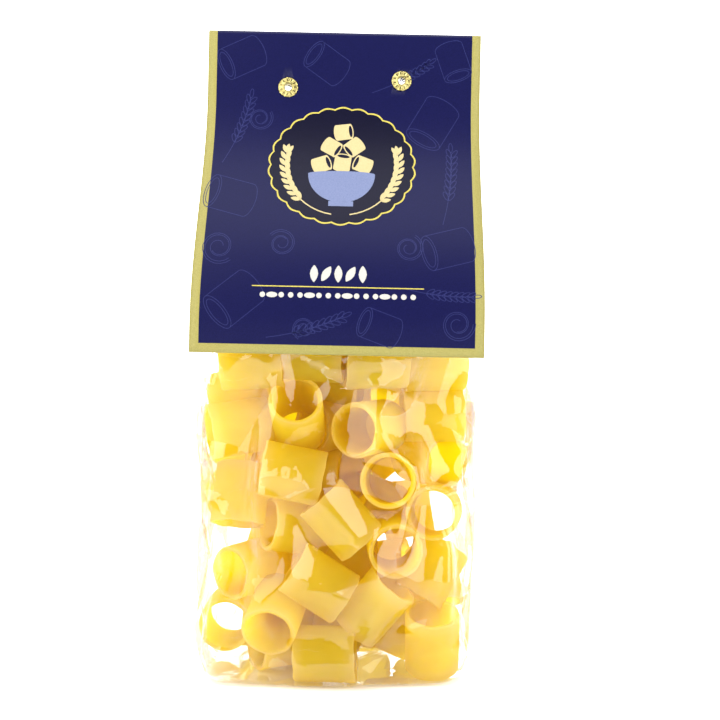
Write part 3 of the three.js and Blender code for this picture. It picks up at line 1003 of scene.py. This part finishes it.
line_ink = ink_paint("line_ink", (0.016, 0.019, 0.085), (0.025, 0.029, 0.115))
gold_ink = ink_paint("gold_ink", (0.42, 0.35, 0.06), (0.52, 0.44, 0.10))
field_ink = ink_paint("field_ink", (0.0025, 0.0024, 0.012), (0.004, 0.0038, 0.018))
wheat_ink = ink_paint("wheat_ink", (0.44, 0.36, 0.17), (0.52, 0.44, 0.23))
cream_ink = ink_paint("cream_ink", (0.42, 0.41, 0.37), (0.50, 0.49, 0.45))
bowl_ink = ink_paint("bowl_ink", (0.13, 0.16, 0.28), (0.17, 0.20, 0.34))
all_over_drawings(-1)
all_over_drawings(1)
medallion()
front_rows()

# ---------------------------------------------------------------------------------------------------------
# The two eyelets. Thin brass tubes set through card, film and card: the front flange is pressed into a round
# star of low ridges, and the back one is rolled over plain.
# ---------------------------------------------------------------------------------------------------------
EYELET_RIM = 4.65
EYELET_BACK_RIM = 3.9
EYELET_HOLE = 1.6
EYELET_BARREL = 1.9
EYELET_SEAT = FOLD_RADIUS + 0.04
EYELET_RIDGES = 11
FILM_HOLE_RADIUS = 2.9
RIDGES_FROM = 2.3
RIDGE_DEPTH = 0.34

EYELET_OUTLINE = [
    (EYELET_BARREL, 0), (EYELET_BARREL, EYELET_SEAT), (3.4, EYELET_SEAT),
    (EYELET_BACK_RIM, EYELET_SEAT + 0.25), (3.5, EYELET_SEAT + 0.62), (2.5, EYELET_SEAT + 0.75),
    (1.9, EYELET_SEAT + 0.55), (EYELET_HOLE, EYELET_SEAT),
    (EYELET_HOLE, -EYELET_SEAT - 0.4), (1.75, -EYELET_SEAT - 0.95), (2.1, -EYELET_SEAT - 1.05),
    (2.4, -EYELET_SEAT - 0.75), (2.9, -EYELET_SEAT - 0.62), (3.8, -EYELET_SEAT - 0.6),
    (4.4, -EYELET_SEAT - 0.42), (EYELET_RIM, -EYELET_SEAT - 0.15), (4.5, -EYELET_SEAT), (3.0, -EYELET_SEAT),
    (EYELET_BARREL, -EYELET_SEAT),
]


def brass():
    """Rolled brass, a little dull and green, its tone and shine mottled at random."""
    material, nodes, links, surface, _ = fresh_material("brass")
    place = nodes.new("ShaderNodeTexCoord").outputs["Object"]
    wear = sprinkle(nodes, links, place, 900, 4)
    links.new(ramp(nodes, links, wear, [(0.35, (0.25, 0.205, 0.07)), (0.65, (0.44, 0.38, 0.15))]),
              surface.inputs["Base Color"])
    surface.inputs["Metallic"].default_value = 1.0
    links.new(ramp(nodes, links, wear, [(0.3, (0.34, 0.34, 0.34)), (0.7, (0.22, 0.22, 0.22))]),
              surface.inputs["Roughness"])
    links.new(bumps(nodes, links, wear, 0.2, 0.0001), surface.inputs["Normal"])
    return material


def pressed_eyelet(x, z):
    bm = bmesh.new()
    corners = [bm.verts.new((radius, along, 0)) for radius, along in EYELET_OUTLINE]
    for i, corner in enumerate(corners):
        bm.edges.new((corner, corners[(i + 1) % len(corners)]))
    bmesh.ops.spin(bm, geom=bm.verts[:] + bm.edges[:], cent=(0, 0, 0), axis=(0, 1, 0), angle=math.tau,
                   steps=EYELET_RIDGES * 8, use_merge=True)
    bmesh.ops.recalc_face_normals(bm, faces=bm.faces)
    for vert in bm.verts:
        radius = math.hypot(vert.co.x, vert.co.z)
        if vert.co.y > -EYELET_SEAT - 0.1 or radius < RIDGES_FROM:
            continue
        crest = 0.5 + 0.5 * math.cos(EYELET_RIDGES * math.atan2(vert.co.z, vert.co.x))
        share = min((radius - RIDGES_FROM) / 1.2, 1)
        vert.co.y += RIDGE_DEPTH * share * (1 - crest) ** 1.5
        trim = 1 - 0.03 * share * (1 - crest) ** 4
        vert.co.x *= trim
        vert.co.z *= trim
    for vert in bm.verts:
        vert.co = askew(x + vert.co.x, vert.co.y, z + vert.co.z)
    return finished_mesh(bm, "eyelet")


def pierced_film():
    """Opens the film where the eyelets' barrels go through it."""
    bm = bmesh.new()
    bm.from_mesh(film.data)
    centres = [askew(x, 0, z) for x, z in EYELETS.values()]
    opened = [face for face in bm.faces for centre in centres
              if math.hypot(*(face.calc_center_median() - centre).xz) < FILM_HOLE_RADIUS * MM]
    bmesh.ops.delete(bm, geom=opened, context="FACES")
    bm.to_mesh(film.data)
    bm.free()


pierced_film()
brass_finish = brass()
for node, (x, z) in EYELETS.items():
    place_piece(node + "_pressed", pressed_eyelet(x, z), [brass_finish], [node])

# ---------------------------------------------------------------------------------------------------------
# Floor, light and camera: a white room with soft lights at both sides, seen level from the front.
# ---------------------------------------------------------------------------------------------------------
FOCAL_PIXELS = 1019.0
PICTURE_PIXELS = 720.0
SENSOR = 36.0
CAMERA_PLACE = (9.0, -470.0, 141.0)
FLOOR_HALF = 3.0


def white_floor():
    bm = bmesh.new()
    bmesh.ops.create_grid(bm, x_segments=1, y_segments=1, size=FLOOR_HALF)
    floor = bpy.data.objects.new("floor", finished_mesh(bm, "floor"))
    bpy.context.scene.collection.objects.link(floor)
    material, _, _, surface, _ = fresh_material("floor_paint")
    surface.inputs["Base Color"].default_value = (0.93, 0.93, 0.93, 1)
    surface.inputs["Roughness"].default_value = 0.6
    floor.data.materials.append(material)


def soft_light(name, place, size, watts):
    lamp = bpy.data.lights.new(name, "AREA")
    lamp.shape = "RECTANGLE"
    lamp.size, lamp.size_y = size
    lamp.energy = watts
    holder = bpy.data.objects.new(name, lamp)
    holder.location = place
    holder.rotation_euler = (Vector((0, 0, 0.12)) - Vector(place)).to_track_quat("-Z", "Y").to_euler()
    bpy.context.scene.collection.objects.link(holder)


def white_room():
    """Light from all round, brighter from behind the pack than from in front of it."""
    world = bpy.data.worlds.new("white_room")
    world.use_nodes = True
    nodes, links = world.node_tree.nodes, world.node_tree.links
    direction = nodes.new("ShaderNodeTexCoord").outputs["Generated"]
    split = nodes.new("ShaderNodeSeparateXYZ")
    links.new(direction, split.inputs["Vector"])
    behind = nodes.new("ShaderNodeMapRange")
    behind.interpolation_type = "SMOOTHSTEP"
    behind.inputs["From Min"].default_value = -0.3
    behind.inputs["From Max"].default_value = 0.6
    behind.inputs["To Min"].default_value = 0.1
    behind.inputs["To Max"].default_value = 3.2
    links.new(split.outputs["Y"], behind.inputs["Value"])
    links.new(behind.outputs["Result"], nodes["Background"].inputs["Strength"])
    nodes["Background"].inputs["Color"].default_value = (1, 1, 1, 1)
    bpy.context.scene.world = world


def front_camera():
    lens = bpy.data.cameras.new("camera")
    lens.sensor_width = SENSOR
    lens.lens = SENSOR * FOCAL_PIXELS / PICTURE_PIXELS
    lens.clip_start = 0.01
    camera = bpy.data.objects.new("camera", lens)
    camera.location = Vector(CAMERA_PLACE) * MM
    camera.rotation_euler = (math.radians(90), 0, 0)
    bpy.context.scene.collection.objects.link(camera)
    bpy.context.scene.camera = camera


white_floor()
white_room()
soft_light("left_softbox", (-0.75, -0.55, 0.45), (1.0, 1.4), 16)
soft_light("right_softbox", (0.8, -0.6, 0.35), (0.8, 1.2), 13)
soft_light("top_softbox", (0.0, -0.25, 1.0), (0.7, 0.5), 4)
front_camera()
bpy.context.scene.view_settings.view_transform = "Standard"
